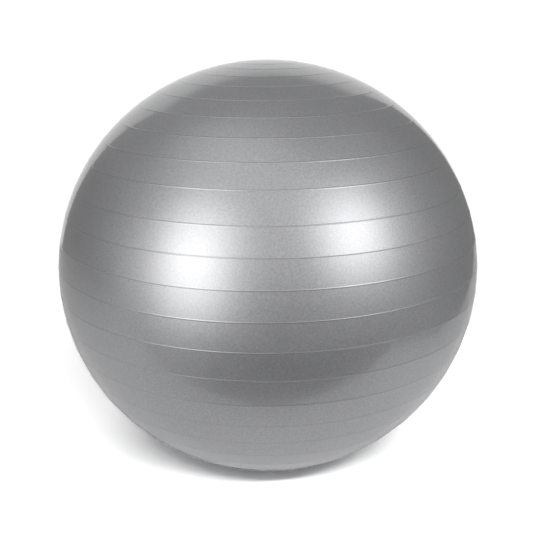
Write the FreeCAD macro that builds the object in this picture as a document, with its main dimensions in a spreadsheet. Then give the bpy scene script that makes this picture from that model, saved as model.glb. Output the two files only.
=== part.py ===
import FreeCAD, Part
import math
import os

import Sketcher

# An inflated exercise ball: a ribbed PVC skin, the valve seat that is moulded into it and the plug
# that closes the valve. +Z is up, along the axis that the ribs ring, and the origin is the middle
# of the flat patch on which the ball rests. The valve faces +Y, half way up, between two ribs.
# Millimetres and degrees.

SHEET = "Dimensions"
DIMENSIONS = (
    # skin
    ("belt_dia", 650, "width of the ball over the skin, between the ribs"),
    ("pole_dia", 638, "height between the poles before the floor flattens the ball"),
    ("patch_dia", 90, "flat patch that the ball's own weight presses on the floor"),
    ("wall", 1.0, "thickness of the inflated skin"),
    # ribs: rib n on either side of the belt is at pitch * (n - 1/2) - closing * (n - 1/2) ^ 3
    ("ribs_a_side", 13, "ribs above the belt, and as many below it"),
    ("rib_pitch", 7.3, "angle from rib to rib at the belt"),
    ("rib_closing", 0.0055, "how fast the ribs draw together towards a pole"),
    ("wide_band_over", 4, "the band over this rib of the upper half is wider than that"),
    ("wide_band_extra", 1.4, "angle by which it is wider, and the ribs over it are higher"),
    ("rib_height", 0.6, "how far a rib stands out of the skin"),
    ("rib_width", 3.0, "width of a rib at its foot"),
    # valve seat, measured along its axis from the skin
    ("seat_dia", 26, "rim of the seat, where the skin is welded to it"),
    ("seat_proud", 0.3, "how far the rim's face stands out of the skin"),
    ("seat_depth", 2.6, "thickness of the rim"),
    ("recess_dia", 18, "recess for the head of the plug"),
    ("recess_depth", 1.2, "depth of that recess"),
    ("neck_dia", 15, "neck that grips the plug, at the rim"),
    ("neck_tip_dia", 12.6, "neck at its inner end"),
    ("neck_length", 16, "from the floor of the recess to the inner end of the neck"),
    ("bore_dia", 10, "bore at its mouth"),
    ("bore_tip_dia", 8.4, "bore at its inner end"),
    ("notch_dia", 5, "notch in the rim for a fingernail"),
    ("notch_depth", 1.9, "depth of the notch"),
    # plug
    ("head_dia", 17, "head of the plug"),
    ("head_depth", 1.6, "thickness of the head at its edge"),
    ("head_crown", 0.5, "how far the middle of the head rises above its edge"),
    ("plug_gap", 0.06, "clearance between the plug's rings and the bore, all round"),
    ("ring_count", 3, "sealing rings on the shank"),
    ("ring_depth", 0.8, "how far a ring stands out of the shank"),
    ("ring_width", 1.6, "width of a ring at its foot"),
    ("tip_past", 1.0, "how far the shank reaches past the neck"),
    ("core_dia", 3.4, "blind hollow up the shank"),
    ("core_depth", 12.5, "depth of that hollow"),
    ("edge_round", 0.35, "rounding of the rim and of the plug's head"),
)

# The skin follows an ellipse whose middle is this far above the floor.
MIDDLE = f"({SHEET}.pole_dia / 2 * sqrt(1 - ({SHEET}.patch_dia / {SHEET}.belt_dia) ^ 2))"
# Heights along the valve's axis, measured outwards from the skin.
RECESS_FLOOR = f"({SHEET}.seat_proud - {SHEET}.recess_depth)"
NECK_END = f"({RECESS_FLOOR} - {SHEET}.neck_length)"
SHANK_TIP = f"({NECK_END} - {SHEET}.tip_past)"
HEAD_EDGE = f"({RECESS_FLOOR} + {SHEET}.head_depth)"

WHOLE_TURN = 360.0
# A piece made along its own +Z points along +Y after this turn.
VALVE_DIRECTION = FreeCAD.Placement(
    FreeCAD.Vector(0, 0, 0), FreeCAD.Rotation(FreeCAD.Vector(1, 0, 0), -90)
)
ON_AXIS = "0"
START = 1
END = 2
CENTRE = 3
ORIGIN_Y_AXIS = -2


# ---- the sheet, bodies and sketches -------------------------------------------------------------

def fill_sheet(doc):
    """The spreadsheet of driving dimensions, one row each: name, value, meaning."""
    sheet = doc.addObject("Spreadsheet::Sheet", SHEET)
    for row, (alias, value, meaning) in enumerate(DIMENSIONS, start=1):
        sheet.set(f"A{row}", alias)
        sheet.set(f"B{row}", str(value))
        sheet.setAlias(f"B{row}", alias)
        sheet.set(f"C{row}", meaning)
    doc.recompute()
    return sheet


def new_body(doc, name):
    body = doc.addObject("PartDesign::Body", name)
    body.Label = name
    return body


def new_sketch(body, name, role="XZ_Plane"):
    """An empty sketch on one of the body's own origin planes."""
    sketch = body.newObject("Sketcher::SketchObject", name)
    plane = next(feature for feature in body.Origin.OriginFeatures if feature.Role == role)
    sketch.AttachmentSupport = (plane, [""])
    sketch.MapMode = "FlatFace"
    return sketch


def revolve(body, sketch, name):
    """Turns a sketch a whole turn about its own upright axis."""
    turned = body.newObject("PartDesign::Revolution", name)
    turned.Profile = sketch
    turned.ReferenceAxis = (sketch, ["V_Axis"])
    turned.Angle = WHOLE_TURN
    return turned


def constrain(sketch, rules):
    """Adds constraints, each given as (kind, references, expression or None), in one step.

    One with an expression is a dimension, and is tied to the sheet by it.
    """
    first = sketch.ConstraintCount
    constraints = []
    for kind, refs, text in rules:
        value = () if text is None else (float(sketch.evalExpression(text)),)
        constraints.append(Sketcher.Constraint(kind, *refs, *value))
    sketch.addConstraint(constraints)
    for number, (_, _, text) in enumerate(rules, start=first):
        if text is not None:
            sketch.setExpression(f"Constraints[{number}]", text)


def pinned(edge, end, spot):
    """The rules that tie a point of the sketch to a pair of expressions, or to the upright axis."""
    across, up = spot
    if across == ON_AXIS:
        sideways = ("PointOnObject", (edge, end, ORIGIN_Y_AXIS), None)
    else:
        sideways = ("DistanceX", (edge, end), across)
    return [sideways, ("DistanceY", (edge, end), up)]


def place_of(sketch, spot):
    across, up = (float(sketch.evalExpression(text)) for text in spot)
    return FreeCAD.Vector(across, up, 0)


def closed_outline(sketch, corners, through=None):
    """Draws a closed outline through corners given as pairs of expressions, and ties it to them.

    An edge is straight, or an arc where `through` has a point for that edge's number to pass.
    """
    through = through or {}
    spots = [place_of(sketch, corner) for corner in corners]
    edges = []
    rules = []
    for number, start in enumerate(spots):
        end = spots[(number + 1) % len(spots)]
        if number in through:
            middle = place_of(sketch, through[number])
            anticlockwise = (middle - start).cross(end - middle).z > 0
            ends = (START, END) if anticlockwise else (END, START)
            first, last = (start, end) if anticlockwise else (end, start)
            edge = sketch.addGeometry(Part.Arc(first, middle, last), False)
            mark = sketch.addGeometry(Part.Point(middle), True)
            rules += pinned(mark, START, through[number])
            rules.append(("PointOnObject", (mark, START, edge), None))
        else:
            ends = (START, END)
            edge = sketch.addGeometry(Part.LineSegment(start, end), False)
        edges.append((edge, ends))
    for number, (edge, ends) in enumerate(edges):
        after, after_ends = edges[(number + 1) % len(edges)]
        rules.append(("Coincident", (edge, ends[1], after, after_ends[0]), None))
        rules += pinned(edge, ends[0], corners[number])
    constrain(sketch, rules)


def round_hole(sketch, centre, diameter):
    """Draws one circle whose centre and diameter are tied to the sheet."""
    middle = place_of(sketch, centre)
    radius = float(sketch.evalExpression(diameter)) / 2
    circle = sketch.addGeometry(Part.Circle(middle, FreeCAD.Vector(0, 0, 1), radius), False)
    constrain(sketch, pinned(circle, CENTRE, centre) + [("Diameter", (circle,), diameter)])


# ---- skin ---------------------------------------------------------------------------------------
# The skin's section is a chain of some fifty arcs, too many for a sketch to solve in reasonable
# time, so it is drawn with Part's own functions from the same sheet.

def ellipse_about(middle, half_wide, half_tall):
    """An upright ellipse in the XZ plane; its parameter is the angle up from +X, in radians."""
    return Part.Ellipse(
        middle + FreeCAD.Vector(half_wide, 0, 0), middle + FreeCAD.Vector(0, 0, half_tall), middle
    )


def rib_angles(sheet):
    """The angle of every rib from the belt in radians, from the lowest rib to the highest."""
    ribs_a_side = int(sheet.ribs_a_side)
    angles = []
    for number in range(-ribs_a_side, ribs_a_side):
        step = number + 0.5
        lift = sheet.wide_band_extra if number >= sheet.wide_band_over else 0
        angles.append(math.radians(sheet.rib_pitch * step - sheet.rib_closing * step ** 3 + lift))
    return angles


def polar_cap(edge, pole):
    """The arc of a circle about the axis from a point near the pole to the pole itself.

    It turns into a piece of a sphere, which closes cleanly on the axis.
    """
    drop = pole.z - edge.z
    radius = (edge.x ** 2 + drop ** 2) / (2 * drop)
    half_way = math.asin(edge.x / radius) / 2
    centre = pole - FreeCAD.Vector(0, 0, radius)
    between = centre + FreeCAD.Vector(math.sin(half_way), 0, math.cos(half_way)) * radius
    return Part.Arc(edge, between, pole)


def skin_section(sheet, middle):
    """Half a section of the hollow skin: ribs on an ellipse outside, a plain ellipse inside."""
    half_wide = sheet.belt_dia / 2
    half_tall = sheet.pole_dia / 2
    outer = ellipse_about(middle, half_wide, half_tall)
    crests = ellipse_about(middle, half_wide + sheet.rib_height, half_tall + sheet.rib_height)
    inner = ellipse_about(middle, half_wide - sheet.wall, half_tall - sheet.wall)
    pole = math.pi / 2
    half_rib = sheet.rib_width / sheet.belt_dia

    reached = -math.acos(sheet.patch_dia / sheet.belt_dia)
    outside = [Part.LineSegment(FreeCAD.Vector(0, 0, 0), outer.value(reached))]
    for angle in rib_angles(sheet):
        outside.append(Part.ArcOfEllipse(outer, reached, angle - half_rib))
        foot, far_foot = outer.value(angle - half_rib), outer.value(angle + half_rib)
        outside.append(Part.Arc(foot, crests.value(angle), far_foot))
        reached = angle + half_rib
    outside.append(polar_cap(outer.value(reached), outer.value(pole)))

    inner_edge = -math.asin((middle.z - sheet.wall) / (half_tall - sheet.wall))
    inner_floor = FreeCAD.Vector(0, 0, sheet.wall)
    inside = [
        Part.LineSegment(outer.value(pole), inner.value(pole)),
        polar_cap(inner.value(reached), inner.value(pole)),
        Part.ArcOfEllipse(inner, inner_edge, reached),
        Part.LineSegment(inner.value(inner_edge), inner_floor),
        Part.LineSegment(inner_floor, FreeCAD.Vector(0, 0, 0)),
    ]
    edges = [curve.toShape() for curve in outside + inside]
    return Part.Face(Part.Wire(Part.__sortEdges__(edges)))


def add_skin(doc, sheet):
    """The shell turned about +Z, with the valve's hole cut through its +Y side."""
    middle = FreeCAD.Vector(0, 0, float(sheet.evalExpression(MIDDLE)))
    shell = doc.addObject("Part::Feature", "SkinShell")
    shell.Shape = skin_section(sheet, middle).revolve(
        FreeCAD.Vector(0, 0, 0), FreeCAD.Vector(0, 0, 1), WHOLE_TURN
    )
    hole = doc.addObject("Part::Cylinder", "ValveHole")
    hole.setExpression("Radius", f"{SHEET}.seat_dia / 2")
    hole.setExpression("Height", f"{SHEET}.belt_dia")
    hole.Placement = VALVE_DIRECTION
    hole.setExpression("Placement.Base.z", MIDDLE)
    skin = doc.addObject("Part::Cut", "ball_skin")
    skin.Label = "ball_skin"
    skin.Base = shell
    skin.Tool = hole
    doc.recompute()
    if not skin.Shape.Volume < shell.Shape.Volume:
        raise RuntimeError("the valve's hole cuts nothing")
    return skin


# ---- valve --------------------------------------------------------------------------------------

def place_on_skin(body):
    """Turns the body's own +Z to +Y and sets its origin on the skin, half way up."""
    body.Placement = VALVE_DIRECTION
    body.setExpression("Placement.Base.y", f"{SHEET}.belt_dia / 2")
    body.setExpression("Placement.Base.z", MIDDLE)


def round_edge(body, name, radius, height):
    """Rounds the circular edge of the body's last feature that has this radius and height."""
    base = body.Tip
    near = 1e-4
    names = [
        f"Edge{number}"
        for number, edge in enumerate(base.Shape.Edges, start=1)
        if not edge.Degenerated
        and isinstance(edge.Curve, Part.Circle)
        and abs(edge.Curve.Radius - radius) < near
        and abs(edge.Curve.Center.z - height) < near
    ]
    if not names:
        raise RuntimeError(f"{name}: no edge of radius {radius} at {height}")
    rounding = body.newObject("PartDesign::Fillet", name)
    rounding.Base = (base, names)
    rounding.setExpression("Radius", f"{SHEET}.edge_round")


def bore_radius(height):
    """The radius of the tapered bore at a height along the valve's axis."""
    slope = f"({SHEET}.bore_dia - {SHEET}.bore_tip_dia) / (2 * {SHEET}.neck_length)"
    return f"({SHEET}.bore_dia / 2 - ({RECESS_FLOOR} - {height}) * {slope})"


def add_seat(doc):
    body = new_body(doc, "valve_seat")
    section = new_sketch(body, "SeatSection")
    rim_back = f"({SHEET}.seat_proud - {SHEET}.seat_depth)"
    closed_outline(section, [
        (f"{SHEET}.bore_dia / 2", RECESS_FLOOR),
        (f"{SHEET}.bore_tip_dia / 2", NECK_END),
        (f"{SHEET}.neck_tip_dia / 2", NECK_END),
        (f"{SHEET}.neck_dia / 2", rim_back),
        (f"{SHEET}.seat_dia / 2", rim_back),
        (f"{SHEET}.seat_dia / 2", f"{SHEET}.seat_proud"),
        (f"{SHEET}.recess_dia / 2", f"{SHEET}.seat_proud"),
        (f"{SHEET}.recess_dia / 2", RECESS_FLOOR),
    ])
    revolve(body, section, "SeatTurned")
    doc.recompute()
    rim_radius, rim_face = (
        float(section.evalExpression(text)) for text in (f"{SHEET}.seat_dia / 2", f"{SHEET}.seat_proud")
    )
    round_edge(body, "RimRound", rim_radius, rim_face)
    doc.recompute()
    whole = body.Shape.Volume

    notch = new_sketch(body, "Notch", "XY_Plane")
    notch.setExpression("AttachmentOffset.Base.z", f"{SHEET}.seat_proud")
    notch_place = (ON_AXIS, f"{SHEET}.recess_dia / 2 + {SHEET}.edge_round")
    round_hole(notch, notch_place, f"{SHEET}.notch_dia")
    cut = body.newObject("PartDesign::Pocket", "NotchCut")
    cut.Profile = notch
    cut.setExpression("Length", f"{SHEET}.notch_depth")
    doc.recompute()
    if not cut.Shape.Volume < whole:
        raise RuntimeError("the fingernail notch cuts nothing")
    place_on_skin(body)
    return body


def add_plug(doc, ring_count):
    body = new_body(doc, "valve_plug")
    section = new_sketch(body, "PlugSection")

    def shank(height):
        return f"({bore_radius(height)} - {SHEET}.plug_gap - {SHEET}.ring_depth)"

    corners = [
        (ON_AXIS, f"{HEAD_EDGE} + {SHEET}.head_crown"),
        (ON_AXIS, f"{SHANK_TIP} + {SHEET}.core_depth"),
        (f"{SHEET}.core_dia / 2", f"{SHANK_TIP} + {SHEET}.core_depth"),
        (f"{SHEET}.core_dia / 2", SHANK_TIP),
        (shank(SHANK_TIP), SHANK_TIP),
    ]
    through = {}
    for number in reversed(range(ring_count)):
        middle = f"({RECESS_FLOOR} - {SHEET}.neck_length * {number + 1} / ({SHEET}.ring_count + 1))"
        foot = f"({middle} - {SHEET}.ring_width / 2)"
        top = f"({middle} + {SHEET}.ring_width / 2)"
        corners.append((shank(foot), foot))
        through[len(corners) - 1] = (f"{bore_radius(middle)} - {SHEET}.plug_gap", middle)
        corners.append((shank(top), top))
    corners += [
        (shank(RECESS_FLOOR), RECESS_FLOOR),
        (f"{SHEET}.head_dia / 2", RECESS_FLOOR),
        (f"{SHEET}.head_dia / 2", HEAD_EDGE),
    ]
    # The crown is an arc centred on the axis; half way to the edge it has dropped this far.
    crown_radius = f"(({SHEET}.head_dia / 2) ^ 2 + {SHEET}.head_crown ^ 2) / (2 * {SHEET}.head_crown)"
    crown_drop = f"({crown_radius} - sqrt(({crown_radius}) ^ 2 - ({SHEET}.head_dia / 4) ^ 2))"
    through[len(corners) - 1] = (
        f"{SHEET}.head_dia / 4",
        f"{HEAD_EDGE} + {SHEET}.head_crown - {crown_drop}",
    )
    closed_outline(section, corners, through)
    revolve(body, section, "PlugTurned")
    doc.recompute()
    head_radius, head_edge = (
        float(section.evalExpression(text)) for text in (f"{SHEET}.head_dia / 2", HEAD_EDGE)
    )
    round_edge(body, "HeadRound", head_radius, head_edge)
    place_on_skin(body)
    return body


# ---- the whole ball -----------------------------------------------------------------------------

def check_document(doc, pieces):
    """Stops if any object failed to recompute, or if a piece isn't one valid solid."""
    for thing in doc.Objects:
        if "Invalid" in thing.State or "Error" in thing.State:
            raise RuntimeError(f"{thing.Label} did not recompute: {thing.State}")
    for piece in pieces:
        shape = piece.Shape
        if shape.isNull() or not shape.isValid() or len(shape.Solids) != 1:
            raise RuntimeError(f"{piece.Label} isn't one valid solid")


def main():
    doc = FreeCAD.newDocument("ExerciseBall")
    sheet = fill_sheet(doc)
    pieces = [
        add_skin(doc, sheet),
        add_seat(doc),
        add_plug(doc, int(sheet.ring_count)),
    ]
    doc.recompute()
    check_document(doc, pieces)
    os.makedirs("parts", exist_ok=True)
    for piece in pieces:
        piece.Shape.exportStep(f"parts/{piece.Label}.step")
        print(piece.Label, f"{piece.Shape.Volume:.0f} mm3", piece.Shape.optimalBoundingBox())


main()
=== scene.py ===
"""Inflatable exercise ball of pearl grey PVC, with its valve seat and push-in plug, on a white floor.

Metres, Z up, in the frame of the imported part: the ball stands on the origin and its valve looks along +Y.
"""

import logging
import math
from collections.abc import Callable
from dataclasses import dataclass, field
from enum import Enum

import bpy
import numpy as np
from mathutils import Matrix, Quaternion, Vector


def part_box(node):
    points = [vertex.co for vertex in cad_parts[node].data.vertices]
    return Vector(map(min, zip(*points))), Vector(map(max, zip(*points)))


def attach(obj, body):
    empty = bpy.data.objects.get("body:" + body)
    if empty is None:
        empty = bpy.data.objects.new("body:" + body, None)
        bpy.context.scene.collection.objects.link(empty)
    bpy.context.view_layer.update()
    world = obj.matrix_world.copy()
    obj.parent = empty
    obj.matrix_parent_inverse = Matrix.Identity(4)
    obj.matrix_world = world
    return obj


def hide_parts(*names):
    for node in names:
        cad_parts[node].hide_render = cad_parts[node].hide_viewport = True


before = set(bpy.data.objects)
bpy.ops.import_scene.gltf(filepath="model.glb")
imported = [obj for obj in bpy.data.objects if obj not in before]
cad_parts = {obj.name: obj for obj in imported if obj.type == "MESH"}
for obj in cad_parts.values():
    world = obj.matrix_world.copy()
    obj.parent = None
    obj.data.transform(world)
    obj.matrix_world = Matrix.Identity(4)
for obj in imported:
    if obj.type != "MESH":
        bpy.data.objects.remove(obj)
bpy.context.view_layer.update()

LOG = logging.getLogger("exercise_ball")
MM = 0.001
HOLE_INSET = 0.2 * MM
RIB_MARK = "rib"
WHITE = (1.0, 1.0, 1.0, 1.0)

Colour = tuple[float, float, float]


class Body(Enum):
    """The moving bodies of the part."""

    BALL = "ball"
    PLUG = "plug"


class Slot(Enum):
    """The material slots of the part."""

    SKIN = "skin_pvc"
    SEAT = "seat_pvc"
    PLUG = "plug_plastic"


class Node(Enum):
    """The solids of the part, which the meshes here stand for."""

    SKIN = "ball_skin"
    SEAT = "valve_seat"
    PLUG = "valve_plug"


# ---------------------------------------------------------------- shader nodes


class Wire:
    """An output socket that can be added, multiplied and so on like a number."""

    def __init__(self, bench: "Bench", socket: bpy.types.NodeSocket | None) -> None:
        """Keeps the socket, which a tree's last node lacks, and the bench that adds nodes after it."""
        self.bench = bench
        self.socket = socket

    def _math(self, operation: str, first: "Wire | float", second: "Wire | float") -> "Wire":
        """Adds one Math node.

        Args:
            operation: the Math node's operation.
            first: its first value.
            second: its second value.

        Returns:
            The node's result.
        """
        return self.bench.add("ShaderNodeMath", {"operation": operation}, {0: first, 1: second})

    def __add__(self, other: "Wire | float") -> "Wire":
        """This value plus another."""
        return self._math("ADD", self, other)

    def __radd__(self, other: float) -> "Wire":
        """A number plus this value."""
        return self._math("ADD", other, self)

    def __sub__(self, other: "Wire | float") -> "Wire":
        """This value minus another."""
        return self._math("SUBTRACT", self, other)

    def __rsub__(self, other: float) -> "Wire":
        """A number minus this value."""
        return self._math("SUBTRACT", other, self)

    def __mul__(self, other: "Wire | float") -> "Wire":
        """This value times another."""
        return self._math("MULTIPLY", self, other)

    def __rmul__(self, other: float) -> "Wire":
        """A number times this value."""
        return self._math("MULTIPLY", other, self)

    def least(self, other: "Wire | float") -> "Wire":
        """The smaller of this value and another."""
        return self._math("MINIMUM", self, other)


class Bench:
    """Adds nodes to one node tree."""

    def __init__(self, tree: bpy.types.NodeTree) -> None:
        """Clears the tree and keeps it."""
        self.tree = tree
        tree.nodes.clear()

    def add(self, kind: str, settings: dict[str, object] | None = None,
            sockets: dict[int | str, object] | None = None, output: int | str = 0) -> Wire:
        """Adds a node of any type.

        Args:
            kind: the node's type.
            settings: its own properties, set first.
            sockets: values or wires of its inputs, by name or number.
            output: the output that is wanted.

        Returns:
            That output as a wire.
        """
        node = self.tree.nodes.new(kind)
        for name, value in (settings or {}).items():
            setattr(node, name, value)
        for name, value in (sockets or {}).items():
            if isinstance(value, Wire):
                self.tree.links.new(value.socket, node.inputs[name])
            else:
                node.inputs[name].default_value = value
        return Wire(self, node.outputs[output] if node.outputs else None)

    def finish(self, shader: Wire, kind: str = "ShaderNodeOutputMaterial") -> None:
        """Links a shader to the tree's output, a material's unless another kind is named."""
        self.add(kind, None, {"Surface": shader})

    def noise(self, place: Wire, scale: float, detail: float = 2.0) -> Wire:
        """Noise from 0 to 1, with about that many grains in a metre."""
        return self.add("ShaderNodeTexNoise", None, {"Vector": place, "Scale": scale, "Detail": detail})

    def blend(self, share: Wire, first: Colour, second: Colour) -> Wire:
        """A colour between two others: the first where the share is 0, the second where it is 1."""
        sockets = {"Factor": share, "A": (*first, 1.0), "B": (*second, 1.0)}
        return self.add("ShaderNodeMix", {"data_type": "RGBA"}, sockets, "Result")

    def bump(self, height: Wire, distance: float) -> Wire:
        """A bumped normal, for a height from 0 to 1 that stands for so many metres."""
        return self.add("ShaderNodeBump", None, {"Strength": 1.0, "Distance": distance, "Height": height})


def new_bench(name: str) -> tuple[bpy.types.Material, Bench]:
    """Makes an empty material.

    Args:
        name: the material's name.

    Returns:
        The material and the bench for its nodes.
    """
    material = bpy.data.materials.new(name)
    material.use_nodes = True
    return material, Bench(material.node_tree)


@dataclass(frozen=True)
class PearlPvc:
    """Grey PVC with pearl flakes under a glossy face: a rough metallic ground below a sharp clear coat.

    A scale is in grains to the metre. A share is how far its pattern moves the colour from the dark grey to
    the light one, a gloss is how far it moves the roughness, and painted shade darkens the ribs towards the
    dark grey.
    """

    dark: Colour = (0.372, 0.374, 0.386)
    light: Colour = (0.472, 0.474, 0.489)
    metallic: float = 0.78
    roughness: float = 0.47
    coat_roughness: float = 0.09
    flake_scale: float = 420.0
    glitter_scale: float = 2100.0
    cloud_scale: float = 7.0
    flake_detail: float = 1.0
    cloud_detail: float = 3.0
    flake_share: float = 2.2
    glitter_share: float = 1.2
    cloud_share: float = 0.6
    cloud_gloss: float = 0.08
    flake_gloss: float = 0.10
    flake_bump: float = 0.03 * MM
    rib_painted_shade: float = 0.8

    def make(self) -> bpy.types.Material:
        """Builds the material: flakes, finer glitter and clouds share out the two greys, and painted shade
        darkens the ribs.

        Returns:
            The material.
        """
        material, bench = new_bench("pearl_pvc")
        place = bench.add("ShaderNodeTexCoord", output="Object")
        flake = bench.noise(place, self.flake_scale, self.flake_detail)
        glitter = bench.noise(place, self.glitter_scale, self.flake_detail)
        cloud = bench.noise(place, self.cloud_scale, self.cloud_detail)
        rib = bench.add("ShaderNodeAttribute", {"attribute_name": RIB_MARK}, output="Fac")
        uneven = (self.flake_share * (flake - 0.5) + self.glitter_share * (glitter - 0.5)
                  + self.cloud_share * (cloud - 0.5))
        # painted shade: the rib share darkens the base colour along each rib's bead
        share = 0.5 + uneven - self.rib_painted_shade * rib
        gloss = self.roughness + self.cloud_gloss * (cloud - 0.5) + self.flake_gloss * (flake - 0.5)
        shader = bench.add("ShaderNodeBsdfPrincipled", None, {
            "Base Color": bench.blend(share, self.dark, self.light),
            "Metallic": self.metallic,
            "Roughness": gloss,
            "Coat Weight": 1.0,
            "Coat Roughness": self.coat_roughness,
            "Normal": bench.bump(flake, self.flake_bump),
        })
        bench.finish(shader)
        return material


@dataclass(frozen=True)
class MouldedPlastic:
    """Plain moulded plastic or PVC: a faint cloudiness, a fine grain and slightly uneven gloss."""

    name: str
    dark: Colour
    light: Colour
    roughness: float
    grain_scale: float = 2600.0
    cloud_scale: float = 160.0
    grain_detail: float = 2.0
    cloud_detail: float = 3.0
    grain_share: float = 0.5
    cloud_share: float = 1.2
    grain_gloss: float = 0.08
    cloud_gloss: float = 0.16
    grain_bump: float = 0.015 * MM

    def make(self) -> bpy.types.Material:
        """Builds the material: clouds and grain share out the two colours and the gloss.

        Returns:
            The material.
        """
        material, bench = new_bench(self.name)
        place = bench.add("ShaderNodeTexCoord", output="Object")
        grain = bench.noise(place, self.grain_scale, self.grain_detail)
        cloud = bench.noise(place, self.cloud_scale, self.cloud_detail)
        share = 0.5 + self.cloud_share * (cloud - 0.5) + self.grain_share * (grain - 0.5)
        gloss = self.roughness + self.cloud_gloss * (cloud - 0.5) + self.grain_gloss * (grain - 0.5)
        shader = bench.add("ShaderNodeBsdfPrincipled", None, {
            "Base Color": bench.blend(share, self.dark, self.light),
            "Roughness": gloss,
            "Normal": bench.bump(grain, self.grain_bump),
        })
        bench.finish(shader)
        return material


# ---------------------------------------------------------------- meshes


def new_object(name: str, points: np.ndarray, faces: list[np.ndarray],
               material: bpy.types.Material) -> bpy.types.Object:
    """Puts points and faces into a smooth-shaded mesh object that sits at the origin.

    Args:
        name: the object's name.
        points: an n by 3 array.
        faces: arrays of corner numbers, one array for each number of corners.
        material: the finish.

    Returns:
        The object, linked to the scene.
    """
    mesh = bpy.data.meshes.new(name)
    mesh.from_pydata(points.tolist(), [], [face for part in faces for face in part.tolist()])
    mesh.materials.append(material)
    mesh.shade_smooth()
    mesh.update()
    made = bpy.data.objects.new(name, mesh)
    bpy.context.scene.collection.objects.link(made)
    return made


def dress(made: bpy.types.Object, body: Body, node: Node) -> None:
    """Says which body a piece rides on and which solid it stands for.

    Args:
        made: the piece's object.
        body: the body that carries it.
        node: the solid that it replaces.
    """
    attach(made, body.value)
    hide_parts(node.value)
    LOG.info("%s: %d faces, rides on %s", made.name, len(made.data.polygons), body.value)


def bead(across: np.ndarray, width: float) -> np.ndarray:
    """A smooth bump from 0 to 1 and back: half of one plus the cosine, over one turn in the width."""
    inside = np.abs(across) < 0.5 * width
    return np.where(inside, 0.5 + 0.5 * np.cos(2.0 * math.pi * across / width), 0.0)


def ease(value: np.ndarray) -> np.ndarray:
    """The smooth step 3t² − 2t³, with t held between 0 and 1."""
    held = np.clip(value, 0.0, 1.0)
    return held * held * (3.0 - 2.0 * held)


@dataclass(frozen=True)
class RibRule:
    """Where the ribs stand, as angles of the outline's ellipse: the pitch closes up towards the poles."""

    a_side: int = 13
    pitch: float = 7.3
    closing: float = 0.0055
    wide_band_over: int = 4
    wide_band_extra: float = 1.4

    def angles(self) -> np.ndarray:
        """Works out the ribs' angles.

        Pitch times the step, less closing times the step's cube, plus the extra of the one wider band.

        Returns:
            Angles in radians, rising, 0 at the belt.
        """
        number = np.arange(-self.a_side, self.a_side)
        step = number + 0.5
        extra = np.where(number >= self.wide_band_over, self.wide_band_extra, 0.0)
        return np.radians(self.pitch * step - self.closing * step**3 + extra)


@dataclass
class Wall:
    """One wall of the skin: its points, its faces, the loop round the hole and each point's rib share."""

    points: np.ndarray
    quads: np.ndarray
    fans: np.ndarray
    hole: np.ndarray
    rib: np.ndarray


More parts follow.
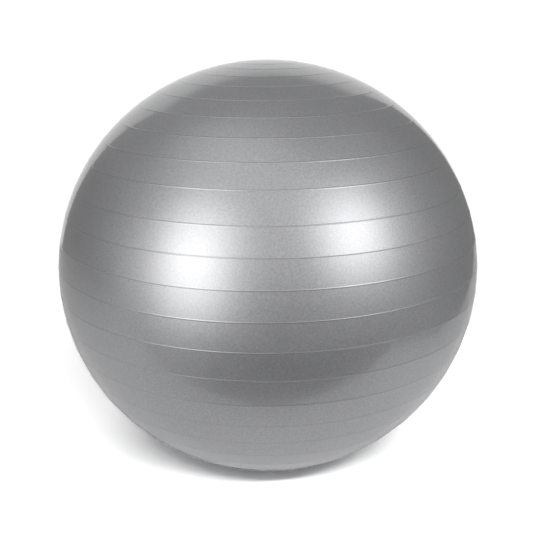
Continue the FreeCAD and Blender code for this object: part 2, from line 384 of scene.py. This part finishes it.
@dataclass
class BallSkin:
    """The inflated skin: a flattened ball with ribs in rings, slack bands between them and a flat foot.

    The slack is the share of a band's bulge that is lost. The window is half the side of the square of
    small cells round the valve. A rib's fine rows are its reach times as wide as the rib.
    """

    half_wide: float
    height: float
    hole_radius: float
    patch_radius: float = 45.0 * MM
    wall: float = 1.0 * MM
    rib_height: float = 0.24 * MM
    rib_width: float = 2.4 * MM
    band_slack: float = 0.25
    foot_softness: float = 0.6 * MM
    collar_lift: float = 0.3 * MM
    collar_width: float = 5.0 * MM
    window: float = 18.0 * MM
    window_cells: int = 14
    hole_rings: int = 6
    columns_outside: int = 180
    rib_cells: int = 9
    rib_reach: float = 9.0 / 7.0
    band_cells: int = 5
    inner_band_cells: int = 2
    cap_cells: int = 8
    window_margin: float = 1.01
    ribs: RibRule = field(default_factory=RibRule)
    cut: float = field(init=False)
    half_tall: float = field(init=False)
    middle: float = field(init=False)
    rib_angles: np.ndarray = field(init=False)

    def __post_init__(self) -> None:
        """The half height follows from the height and from the patch, which cuts the ellipse's foot off."""
        self.cut = math.sqrt(1.0 - (self.patch_radius / self.half_wide) ** 2)
        self.half_tall = self.height / (1.0 + self.cut)
        self.middle = self.half_tall * self.cut
        self.rib_angles = self.ribs.angles()

    def relief(self, rise: np.ndarray, ribbed: bool) -> np.ndarray:
        """How far the skin stands off the ellipse.

        A bead on each rib, less a parabola in each band: its depth is the slack share of the band's own
        bulge, which is the half width times the band's angle squared over eight.

        Args:
            rise: angles of the ellipse.
            ribbed: False leaves the beads out, as on the inner wall.

        Returns:
            The distance along the ellipse's normal.
        """
        edges = self.rib_angles
        number = np.clip(np.searchsorted(edges, rise) - 1, 0, len(edges) - 2)
        low = edges[number]
        pitch = edges[number + 1] - low
        across = np.clip(2.0 * (rise - low) / pitch - 1.0, -1.0, 1.0)
        off = -self.band_slack * self.half_wide * pitch**2 / 8.0 * (1.0 - across**2)
        return off + self.rib_height * self.beads(rise) if ribbed else off

    def beads(self, rise: np.ndarray) -> np.ndarray:
        """The ribs' shape alone, from 0 beside a rib to 1 on its crest."""
        arc = self.half_wide * (rise[..., None] - self.rib_angles)
        return bead(arc, self.rib_width).sum(-1)

    def surface(self, turn: np.ndarray, rise: np.ndarray, depth: float) -> np.ndarray:
        """Points of one wall.

        The ellipse's point (half wide times cosine, middle plus half tall times sine) moves along the
        ellipse's normal by the relief less the depth, and by a soft ring round the valve seat. The foot is
        the soft maximum of its height and the depth, (z + sqrt(z² + s²)) / 2.

        Args:
            turn: angles round the upright axis, from the valve.
            rise: angles of the ellipse, 0 at the middle.
            depth: 0 for the outer wall, the wall's thickness for the inner one.

        Returns:
            Points, with x, y and z last.
        """
        out = self.half_wide * np.cos(rise)
        up = self.half_tall * np.sin(rise)
        slope = np.hypot(self.half_tall * np.cos(rise), self.half_wide * np.sin(rise))
        from_valve = np.hypot(out * np.sin(turn), up)
        ring = np.exp(-((from_valve - self.hole_radius) / (0.5 * self.collar_width)) ** 2)
        near = np.cos(turn) > 0.0
        off = self.relief(rise, depth == 0.0) - depth + self.collar_lift * ring * near
        out = out + off * self.half_tall * np.cos(rise) / slope
        over = self.middle + up + off * self.half_wide * np.sin(rise) / slope - depth
        soft = 0.5 * (over + np.sqrt(over**2 + self.foot_softness**2)) + depth
        return np.stack([-out * np.sin(turn), out * np.cos(turn), soft], axis=-1)

    def rows(self, fine: bool) -> np.ndarray:
        """Angles of the grid's rows.

        A rib's rows reach a little past it on both sides, so that its slope doesn't shade the bands.

        Args:
            fine: True for the outer wall, whose ribs are modelled.

        Returns:
            Angles that rise from the lower cap to the upper one, without the poles.
        """
        half = 0.5 * self.rib_reach * self.rib_width / self.half_wide if fine else 0.0
        window = np.arcsin(np.linspace(-1.0, 1.0, self.window_cells + 1) * self.window / self.half_tall)
        offsets = np.linspace(-half, half, self.rib_cells + 1) if fine else np.zeros(1)
        band_cells = self.band_cells if fine else self.inner_band_cells
        angles = self.rib_angles
        parts = [np.linspace(-0.5 * math.pi, angles[0] - half, self.cap_cells + 1)[1:-1]]
        for low, high in zip(angles[:-1], angles[1:]):
            parts.append(low + offsets)
            if low < 0.0 < high:
                parts.append(window)
            else:
                parts.append(np.linspace(low + half, high - half, band_cells + 1)[1:-1])
        parts.append(angles[-1] + offsets)
        parts.append(np.linspace(angles[-1] + half, 0.5 * math.pi, self.cap_cells + 1)[1:-1])
        return np.concatenate(parts)

    def columns(self) -> np.ndarray:
        """Works out the grid's columns: close together across the valve's window, then all the way round.

        Returns:
            Angles round the upright axis, from one side of the window.
        """
        half = math.asin(self.window / self.half_wide)
        inside = np.linspace(-half, half, self.window_cells + 1)
        outside = np.linspace(half, 2.0 * math.pi - half, self.columns_outside + 1)[1:-1]
        return np.concatenate([inside, outside])

    def ring_angles(self, turn: np.ndarray, rise: np.ndarray) -> tuple[np.ndarray, np.ndarray]:
        """Rings that pass from the window's square edge to the round hole, as shares of the way.

        Args:
            turn: turn angles of the square edge.
            rise: rise angles of the square edge.

        Returns:
            The rings' turn and rise angles, one row for each ring.
        """
        around = np.arctan2(self.half_tall * np.sin(rise), self.half_wide * np.cos(rise) * np.sin(turn))
        hole_rise = np.arcsin(self.hole_radius * np.sin(around) / self.half_tall)
        hole_turn = np.arcsin(self.hole_radius * np.cos(around) / (self.half_wide * np.cos(hole_rise)))
        share = np.linspace(0.0, 1.0, self.hole_rings + 1)[1:, None]
        return turn + share * (hole_turn - turn), rise + share * (hole_rise - rise)

    def make_wall(self, fine: bool, depth: float) -> Wall:
        """Builds one wall: the grid without the window's cells, the rings to the hole and the pole fans.

        Args:
            fine: True for the outer wall.
            depth: how far inside the outer face it lies.

        Returns:
            The wall, its faces turned away from the ball's middle.
        """
        rise = self.rows(fine)
        turn = self.columns()
        row_count, count = len(rise), len(turn)
        number = np.arange(row_count * count).reshape(row_count, count)
        first = int(np.searchsorted(rise, -self.window / self.half_tall * self.window_margin))
        last = first + self.window_cells
        # The window's square edge, in order round it.
        square = np.concatenate([
            number[first, :self.window_cells], number[first:last, self.window_cells],
            number[last, self.window_cells:0:-1], number[last:first:-1, 0],
        ])
        ring_turn, ring_rise = self.ring_angles(turn[square % count], rise[square // count])
        grid = self.surface(*np.meshgrid(turn, rise), depth).reshape(-1, 3)
        rings = self.surface(ring_turn, ring_rise, depth).reshape(-1, 3)
        poles = self.surface(np.zeros(2), np.array([-0.5, 0.5]) * math.pi, depth)
        # The grid's cells, less the window's.
        after = np.roll(number, -1, axis=1)
        cells = np.stack([number[:-1], after[:-1], after[1:], number[1:]], axis=-1)
        kept = np.ones(cells.shape[:2], bool)
        kept[first:last, :self.window_cells] = False
        # Ring by ring from the square edge to the round hole.
        loops = np.vstack([square, len(grid) + np.arange(len(rings)).reshape(self.hole_rings, -1)])
        onward = np.roll(loops, -1, axis=1)
        funnel = np.stack([loops[:-1], onward[:-1], onward[1:], loops[1:]], axis=-1)
        # Triangles round both poles.
        south = np.full(count, len(grid) + len(rings))
        fans = np.vstack([
            np.stack([south, after[0], number[0]], axis=-1),
            np.stack([south + 1, number[-1], after[-1]], axis=-1),
        ])
        quads = np.vstack([cells[kept], funnel.reshape(-1, 4)])
        rib = np.concatenate([np.repeat(self.beads(rise), count), np.zeros(len(rings) + len(poles))])
        return Wall(np.vstack([grid, rings, poles]), quads, fans, loops[-1], rib * fine)

    def build(self, material: bpy.types.Material) -> bpy.types.Object:
        """Joins the outer and inner walls at the valve hole and drops the points that no face uses.

        Args:
            material: the skin's finish.

        Returns:
            The skin's object.
        """
        outer = self.make_wall(True, 0.0)
        inner = self.make_wall(False, self.wall)
        shift = len(outer.points)
        inside = inner.hole + shift
        lip = np.stack([outer.hole, np.roll(outer.hole, -1), np.roll(inside, -1), inside], axis=-1)
        quads = np.vstack([outer.quads, inner.quads[:, ::-1] + shift, lip])
        fans = np.vstack([outer.fans, inner.fans[:, ::-1] + shift])
        used, packed = np.unique(np.concatenate([quads.ravel(), fans.ravel()]), return_inverse=True)
        points = np.vstack([outer.points, inner.points])[used]
        quads, fans = packed[:quads.size].reshape(-1, 4), packed[quads.size:].reshape(-1, 3)
        made = new_object("skin", points, [quads, fans], material)
        # the rib share, which the skin's material uses to paint shade along the ribs
        mark = made.data.attributes.new(RIB_MARK, "FLOAT", "POINT")
        mark.data.foreach_set("value", np.concatenate([outer.rib, inner.rib])[used])
        dress(made, Body.BALL, Node.SKIN)
        return made


@dataclass(frozen=True)
class Corner:
    """A corner of a turned outline: its distance from the axis, its place along it and its rounding."""

    radius: float
    along: float
    rounding: float = 0.0


def outline(corners: list[Corner], step: float, closed: bool, arc_cells: int = 5) -> np.ndarray:
    """Samples an outline with rounded corners.

    A rounded corner is the circular arc that touches both sides: it starts where the rounding over the
    tangent of half the corner's angle is used up, and straight runs are cut into equal steps.

    Args:
        corners: the outline's corners in order.
        step: the longest step on a straight run.
        closed: True where the last corner joins the first.
        arc_cells: steps on each arc.

    Returns:
        An n by 2 array of radius and place along the axis.
    """
    spots = np.array([(corner.radius, corner.along) for corner in corners])
    pieces = []
    for number, corner in enumerate(corners):
        here = spots[number]
        at_end = not closed and number in (0, len(corners) - 1)
        if at_end or corner.rounding == 0.0:
            pieces.append(here[None, :])
            continue
        back = spots[number - 1] - here
        on = spots[(number + 1) % len(corners)] - here
        back, on = back / np.linalg.norm(back), on / np.linalg.norm(on)
        half = 0.5 * math.acos(float(np.clip(back @ on, -1.0, 1.0)))
        middle = here + (back + on) / np.linalg.norm(back + on) * corner.rounding / math.sin(half)
        start = here + back * corner.rounding / math.tan(half) - middle
        end = here + on * corner.rounding / math.tan(half) - middle
        swing = math.pi - 2.0 * half
        share = np.linspace(0.0, 1.0, arc_cells + 1)[:, None]
        arc = (np.sin((1.0 - share) * swing) * start + np.sin(share * swing) * end) / math.sin(swing)
        pieces.append(middle + arc)
    sampled = []
    for number, piece in enumerate(pieces):
        sampled.append(piece)
        if closed or number < len(pieces) - 1:
            gap = pieces[(number + 1) % len(pieces)][0] - piece[-1]
            cells = max(1, math.ceil(float(np.linalg.norm(gap)) / step))
            sampled.append(piece[-1] + np.linspace(0.0, 1.0, cells + 1)[1:-1, None] * gap)
    return np.vstack(sampled)


@dataclass
class Turning:
    """A piece turned about the valve's axis, which runs along +Y through a point of the skin."""

    place: Vector
    segments: int = 192

    def build(self, name: str, profile: np.ndarray, closed: bool, material: bpy.types.Material,
              sink: Callable[[np.ndarray, np.ndarray, np.ndarray], np.ndarray] | None = None,
              ) -> bpy.types.Object:
        """Carries a profile round the axis.

        A point of the profile at radius r and place a goes to (r cos t, a, r sin t) for each turn t. An open
        profile starts and ends on the axis, where one point closes each pole.

        Args:
            name: the object's name.
            profile: radius and place along the axis, in order.
            closed: True where the profile is a loop that keeps clear of the axis.
            material: the finish.
            sink: gives new places along the axis from x, place and z, for what isn't round.

        Returns:
            The object.
        """
        turn = np.linspace(0.0, 2.0 * math.pi, self.segments, endpoint=False)
        body = profile if closed else profile[1:-1]
        side = body[:, 0, None] * np.cos(turn)
        up = body[:, 0, None] * np.sin(turn)
        along = np.repeat(body[:, 1, None], self.segments, axis=1)
        if sink is not None:
            along = sink(side, along, up)
        points = np.stack([side, along, up], axis=-1).reshape(-1, 3)
        number = np.arange(len(points)).reshape(len(body), self.segments)
        if closed:
            number = np.vstack([number, number[0]])
        after = np.roll(number, -1, axis=1)
        quads = np.stack([number[:-1], number[1:], after[1:], after[:-1]], axis=-1).reshape(-1, 4)
        faces = [quads]
        if not closed:
            ends = np.array([[0.0, profile[0, 1], 0.0], [0.0, profile[-1, 1], 0.0]])
            start = np.full(self.segments, len(points))
            points = np.vstack([points, ends])
            faces.append(np.stack([start, number[0], after[0]], axis=-1))
            faces.append(np.stack([start + 1, after[-1], number[-1]], axis=-1))
        if self.volume(points, quads) < 0.0:
            faces = [part[:, ::-1] for part in faces]
        return new_object(name, points + np.array(self.place), faces, material)

    @staticmethod
    def volume(points: np.ndarray, quads: np.ndarray) -> float:
        """About twelve times the volume that the quads enclose, negative where they face inwards."""
        first, second, third, fourth = (points[quads[:, corner]] for corner in range(4))
        return float((np.cross(third - first, fourth - second) * (first + third)).sum())


@dataclass
class ValveSeat:
    """The moulded insert: a rim flush with the skin, a recess for the plug's head, a notch and a neck."""

    rim_radius: float
    proud: float
    inner_end: float
    rim_back: float = -2.3 * MM
    recess_radius: float = 9.0 * MM
    recess_floor: float = -0.9 * MM
    neck_radius: float = 7.5 * MM
    neck_tip_radius: float = 6.3 * MM
    bore_radius: float = 5.0 * MM
    bore_tip_radius: float = 4.2 * MM
    notch_place: float = 9.35 * MM
    notch_radius: float = 2.5 * MM
    notch_floor: float = -1.6 * MM
    notch_flat_share: float = 0.45
    notch_left_over: float = 0.02
    notch_clear: float = 1.0 * MM
    edge_round: float = 0.35 * MM
    shoulder_round: float = 1.0 * MM
    bore_round: float = 0.3 * MM
    recess_round: float = 0.2 * MM
    step: float = 0.4 * MM

    def notch(self, side: np.ndarray, along: np.ndarray, up: np.ndarray) -> np.ndarray:
        """Presses the fingernail notch into the front faces.

        Its floor is a smooth step from the rim's face down to the notch's depth, over the outer part of a
        circle below the axis. Faces above that floor are pressed almost down to it.

        Args:
            side: sideways from the axis.
            along: places along the axis.
            up: upwards from the axis.

        Returns:
            The new places along the axis.
        """
        from_middle = np.hypot(side, up + self.notch_place) / self.notch_radius
        fall = 1.0 - ease((from_middle - self.notch_flat_share) / (1.0 - self.notch_flat_share))
        floor = self.proud - (self.proud - self.notch_floor) * fall
        pressed = floor + self.notch_left_over * (along - floor)
        front = (along > self.notch_floor) & (np.hypot(side, up) > self.bore_radius + self.notch_clear)
        return np.where(front & (along > floor), pressed, along)

    def build(self, turning: Turning, material: bpy.types.Material) -> bpy.types.Object:
        """Turns the seat's closed outline.

        Args:
            turning: the valve's axis.
            material: the seat's finish.

        Returns:
            The seat's object.
        """
        corners = [
            Corner(self.rim_radius, self.proud, self.edge_round),
            Corner(self.rim_radius, self.rim_back, self.edge_round),
            Corner(self.neck_radius, self.rim_back, self.shoulder_round),
            Corner(self.neck_tip_radius, self.inner_end, self.edge_round),
            Corner(self.bore_tip_radius, self.inner_end, self.bore_round),
            Corner(self.bore_radius, self.recess_floor, self.bore_round),
            Corner(self.recess_radius, self.recess_floor, self.recess_round),
            Corner(self.recess_radius, self.proud, self.bore_round),
        ]
        profile = outline(corners, self.step, closed=True)
        made = turning.build("seat", profile, True, material, self.notch)
        dress(made, Body.BALL, Node.SEAT)
        return made


@dataclass
class ValvePlug:
    """The push-in plug: a crowned head, a tapered shank with three sealing rings and a hollow tip."""

    head_radius: float
    crown_top: float
    tip: float
    head_edge: float = 0.7 * MM
    under_head: float = -0.9 * MM
    bore_radius: float = 5.0 * MM
    bore_taper: float = 0.05
    gap: float = 0.06 * MM
    ring_height: float = 0.8 * MM
    ring_width: float = 1.6 * MM
    ring_count: int = 3
    ring_span: float = 16.0 * MM
    core_radius: float = 1.7 * MM
    core_depth: float = 12.5 * MM
    groove_radius: float = 5.6 * MM
    groove_depth: float = 0.12 * MM
    groove_width: float = 0.9 * MM
    gate_radius: float = 1.0 * MM
    gate_depth: float = 0.2 * MM
    crown_inset: float = 0.6 * MM
    crown_points: int = 40
    edge_round: float = 0.3 * MM
    under_round: float = 0.25 * MM
    tip_round: float = 0.35 * MM
    core_end_round: float = 0.5 * MM
    shank_side_margin: float = 0.1 * MM
    shank_top_margin: float = 1.0 * MM
    step: float = 0.2 * MM

    def ring_radius(self, along: float) -> float:
        """The rings' radius: the bore's tapered radius less the gap."""
        return self.bore_radius + (along - self.under_head) * self.bore_taper - self.gap

    def crown(self) -> np.ndarray:
        """Works out the head's face: a parabola, less a shallow round groove and the moulding gate's dimple.

        Returns:
            An n by 2 array of radius and place along the axis, from the axis outwards.
        """
        radius = np.linspace(0.0, self.head_radius - self.crown_inset, self.crown_points)
        bulge = self.crown_top - self.head_edge
        along = self.head_edge + bulge * (1.0 - (radius / self.head_radius) ** 2)
        along = along - self.groove_depth * bead(radius - self.groove_radius, self.groove_width)
        along = along - self.gate_depth * bead(radius, 2.0 * self.gate_radius)
        return np.stack([radius, along], axis=-1)

    def build(self, turning: Turning, material: bpy.types.Material) -> bpy.types.Object:
        """Turns the plug's outline, from the middle of its crown to the end of its core.

        Args:
            turning: the valve's axis.
            material: the plug's finish.

        Returns:
            The plug's object.
        """
        shank_top = self.ring_radius(self.under_head) - self.ring_height
        shank_tip = self.ring_radius(self.tip) - self.ring_height
        crown = self.crown()
        corners = [
            Corner(crown[-1, 0], crown[-1, 1]),
            Corner(self.head_radius, self.head_edge, self.edge_round),
            Corner(self.head_radius, self.under_head, self.edge_round),
            Corner(shank_top, self.under_head, self.under_round),
            Corner(shank_tip, self.tip, self.tip_round),
            Corner(self.core_radius, self.tip, self.edge_round),
            Corner(self.core_radius, self.tip + self.core_depth, self.core_end_round),
            Corner(0.0, self.tip + self.core_depth),
        ]
        profile = np.vstack([crown[:-1], outline(corners, self.step, closed=False)])
        outside = profile[:, 0] > shank_tip - self.shank_side_margin
        on_shank = outside & (profile[:, 1] < self.under_head - self.shank_top_margin)
        for number in range(1, self.ring_count + 1):
            middle = self.under_head - self.ring_span * number / (self.ring_count + 1)
            height = self.ring_height * bead(profile[:, 1] - middle, self.ring_width)
            profile[:, 0] = profile[:, 0] + np.where(on_shank, height, 0.0)
        made = turning.build("plug", profile, False, material)
        dress(made, Body.PLUG, Node.PLUG)
        return made


# ---------------------------------------------------------------- studio


def bearing(azimuth: float, elevation: float) -> Vector:
    """The direction at an azimuth from the camera's side (−Y) towards +X and a height, in degrees."""
    turn, rise = math.radians(azimuth), math.radians(elevation)
    return Vector((math.sin(turn) * math.cos(rise), -math.cos(turn) * math.cos(rise), math.sin(rise)))


class PanelUse(Enum):
    """What a light panel is for: to be mirrored in the skin, or to light the floor and dull surfaces."""

    MIRRORED = "mirrored"
    LIGHTING = "lighting"


@dataclass(frozen=True)
class Softbox:
    """A soft-edged light panel that faces the ball and that the camera doesn't see.

    Its bearing is in degrees and its sizes are in metres. Each edge is the share of the panel's width or
    height over which its light fades out.
    """

    name: str
    use: PanelUse
    azimuth: float
    elevation: float
    half_width: float
    half_height: float
    distance: float
    strength: float
    side_edge: float
    end_edge: float

    def build(self, middle: Vector) -> bpy.types.Object:
        """Makes the panel and its light.

        Args:
            middle: what the panel faces.

        Returns:
            The panel.
        """
        material, bench = new_bench(self.name)
        place = bench.add("ShaderNodeUVMap")
        across = bench.add("ShaderNodeSeparateXYZ", None, {"Vector": place}, "X")
        upward = bench.add("ShaderNodeSeparateXYZ", None, {"Vector": place}, "Y")
        share = (self.fade(across.least(1.0 - across), self.side_edge)
                 * self.fade(upward.least(1.0 - upward), self.end_edge))
        lit = bench.add("ShaderNodeEmission", None, {"Strength": self.strength})
        clear = bench.add("ShaderNodeBsdfTransparent")
        bench.finish(bench.add("ShaderNodeMixShader", None, {"Fac": share, 1: clear, 2: lit}))
        away = bearing(self.azimuth, self.elevation)
        side = Vector((0.0, 0.0, 1.0)).cross(away).normalized()
        lift = away.cross(side)
        centre = middle + away * self.distance
        signs = np.array([(-1, -1), (-1, 1), (1, 1), (1, -1)])
        points = (np.array(centre) + signs[:, :1] * self.half_width * np.array(side)
                  + signs[:, 1:] * self.half_height * np.array(lift))
        made = new_object(self.name, points, [np.array([[0, 1, 2, 3]])], material)
        uv = made.data.uv_layers.new(name="UVMap")
        uv.data.foreach_set("uv", (0.5 + 0.5 * signs).ravel())
        made.visible_camera = False
        made.visible_shadow = False
        made.visible_diffuse = self.use is PanelUse.LIGHTING
        made.visible_glossy = self.use is PanelUse.MIRRORED
        return made

    @staticmethod
    def fade(inside: Wire, edge: float) -> Wire:
        """A smooth step from 0 at the panel's edge to 1 at a share of its width inside."""
        return inside.bench.add("ShaderNodeMapRange", {"interpolation_type": "SMOOTHSTEP"},
                                {"Value": inside, "From Max": edge})


@dataclass(frozen=True)
class Studio:
    """The pale floor with its straight front edge, the white room, the light panels and the camera.

    The floor's edges and its fade are in metres from the ball's foot. Its grey has one amount added for
    the camera and another for what is mirrored. The camera's rise and roll are in degrees, and its
    distance is in half widths of the ball.
    """

    middle: Vector
    radius: float
    floor_front: float = -0.44
    floor_back: float = 1.5
    floor_left: float = -2.6
    floor_right_front: float = 0.66
    floor_right_back: float = 1.30
    floor_grey: float = 0.85
    floor_cloud: float = 0.04
    floor_cloud_scale: float = 3.0
    floor_seen: float = 1.22
    floor_mirrored: float = 0.08
    fade_from: float = 0.50
    fade_to: float = 0.90
    room_glow: float = 0.22
    room_seen: float = 1.05
    camera_rise: float = 16.5
    camera_roll: float = 0.4
    camera_distance: float = 4.4
    focal_length: float = 60.6
    aim_offset: tuple[float, float, float] = (-2.2 * MM, 0.0, -2.7 * MM)

    def floor(self) -> bpy.types.Object:
        """Lays the floor: matt, brighter to the camera, and clear to it away from the ball.

        Returns:
            The floor's object.
        """
        material, bench = new_bench("floor_white")
        place = bench.add("ShaderNodeTexCoord", output="Object")
        cloud = bench.noise(place, self.floor_cloud_scale)
        seen = bench.add("ShaderNodeLightPath", output="Is Camera Ray")
        mirrored = bench.add("ShaderNodeLightPath", output="Is Glossy Ray")
        grey = self.floor_grey + self.floor_cloud * cloud
        grey = grey + self.floor_seen * seen + self.floor_mirrored * mirrored
        matt = bench.add("ShaderNodeBsdfDiffuse", None, {"Color": grey})
        clear = bench.add("ShaderNodeBsdfTransparent")
        distance = bench.add("ShaderNodeVectorMath", {"operation": "LENGTH"}, {0: place}, "Value")
        far = bench.add("ShaderNodeMapRange", {"interpolation_type": "SMOOTHSTEP"},
                        {"Value": distance, "From Min": self.fade_from, "From Max": self.fade_to})
        bench.finish(bench.add("ShaderNodeMixShader", None, {"Fac": far * seen, 1: matt, 2: clear}))
        points = np.array([
            (self.floor_left, self.floor_front, 0.0), (self.floor_right_front, self.floor_front, 0.0),
            (self.floor_right_back, self.floor_back, 0.0), (self.floor_left, self.floor_back, 0.0),
        ])
        made = new_object("floor", points, [np.array([[0, 1, 2, 3]])], material)
        return made

    def room(self) -> None:
        """Makes the room: white where the camera looks past the set, and a dim grey for everything else."""
        world = bpy.data.worlds.new("room")
        world.use_nodes = True
        bench = Bench(world.node_tree)
        seen = bench.add("ShaderNodeLightPath", output="Is Camera Ray")
        white = bench.add("ShaderNodeBackground", None, {"Color": WHITE, "Strength": self.room_seen})
        dim = bench.add("ShaderNodeBackground", None, {"Color": WHITE, "Strength": self.room_glow})
        bench.finish(bench.add("ShaderNodeMixShader", None, {"Fac": seen, 1: dim, 2: white}),
                     "ShaderNodeOutputWorld")
        bpy.context.scene.world = world

    def lights(self) -> None:
        """Sets up the panels that the skin mirrors and the two lamps that light the floor."""
        panels = [
            Softbox("softbox_left", PanelUse.MIRRORED, azimuth=-36.0, elevation=16.5, half_width=0.92,
                    half_height=1.42, distance=1.8, strength=5.2, side_edge=0.5, end_edge=0.5),
            Softbox("softbox_right", PanelUse.MIRRORED, azimuth=45.0, elevation=26.0, half_width=0.88,
                    half_height=0.98, distance=1.8, strength=5.45, side_edge=0.5, end_edge=0.5),
            Softbox("white_sheet", PanelUse.MIRRORED, azimuth=186.0, elevation=0.0, half_width=1.10,
                    half_height=1.80, distance=1.5, strength=0.85, side_edge=0.02, end_edge=0.14),
            Softbox("overhead", PanelUse.MIRRORED, azimuth=-30.0, elevation=68.0, half_width=1.90,
                    half_height=0.90, distance=1.8, strength=1.05, side_edge=0.5, end_edge=0.5),
            Softbox("dark_card", PanelUse.MIRRORED, azimuth=18.0, elevation=-38.0, half_width=1.10,
                    half_height=0.42, distance=1.2, strength=0.05, side_edge=0.1, end_edge=0.1),
            Softbox("lamp_front", PanelUse.LIGHTING, azimuth=8.0, elevation=31.5, half_width=0.70,
                    half_height=0.08, distance=2.2, strength=62.0, side_edge=0.1, end_edge=0.1),
            Softbox("lamp_back", PanelUse.LIGHTING, azimuth=170.0, elevation=38.0, half_width=1.10,
                    half_height=0.14, distance=2.2, strength=8.0, side_edge=0.1, end_edge=0.1),
        ]
        for panel in panels:
            panel.build(self.middle)

    def camera(self) -> None:
        """Aims the camera at the ball's middle, from the front and a little above."""
        data = bpy.data.cameras.new("camera")
        data.lens = self.focal_length
        made = bpy.data.objects.new("camera", data)
        bpy.context.scene.collection.objects.link(made)
        made.location = self.middle + bearing(0.0, self.camera_rise) * self.camera_distance * self.radius
        aim = self.middle + Vector(self.aim_offset) - made.location
        roll = Quaternion((0.0, 0.0, 1.0), -math.radians(self.camera_roll))
        made.rotation_euler = (aim.to_track_quat("-Z", "Y") @ roll).to_euler()
        bpy.context.scene.camera = made

    def build(self) -> None:
        """Builds the whole set."""
        self.floor()
        self.room()
        self.lights()
        self.camera()
        bpy.context.scene.view_settings.view_transform = "Standard"


def main() -> None:
    """Builds the ball, its valve and the studio."""
    logging.basicConfig(level=logging.INFO, format="%(name)s: %(message)s")
    low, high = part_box(Node.SKIN.value)
    seat_low, seat_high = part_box(Node.SEAT.value)
    plug_low, plug_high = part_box(Node.PLUG.value)
    half_wide = 0.5 * (high.x - low.x)
    seat_radius = 0.5 * (seat_high.x - seat_low.x)
    skin = BallSkin(half_wide, high.z - low.z, seat_radius - HOLE_INSET)
    skin.build(PearlPvc().make())

    valve = Vector((0.0, half_wide, 0.5 * (seat_low.z + seat_high.z)))
    turning = Turning(valve)
    seat = ValveSeat(seat_radius, seat_high.y - valve.y, seat_low.y - valve.y)
    seat_finish = MouldedPlastic("seat_grey_pvc", dark=(0.26, 0.26, 0.27), light=(0.34, 0.34, 0.35),
                                 roughness=0.42)
    seat.build(turning, seat_finish.make())
    plug = ValvePlug(0.5 * (plug_high.x - plug_low.x), plug_high.y - valve.y, plug_low.y - valve.y)
    plug_finish = MouldedPlastic("plug_ivory", dark=(0.80, 0.79, 0.74), light=(0.88, 0.87, 0.83),
                                 roughness=0.34)
    plug.build(turning, plug_finish.make())

    Studio(Vector((0.0, 0.0, skin.middle)), half_wide).build()


if __name__ == "__main__":
    main()
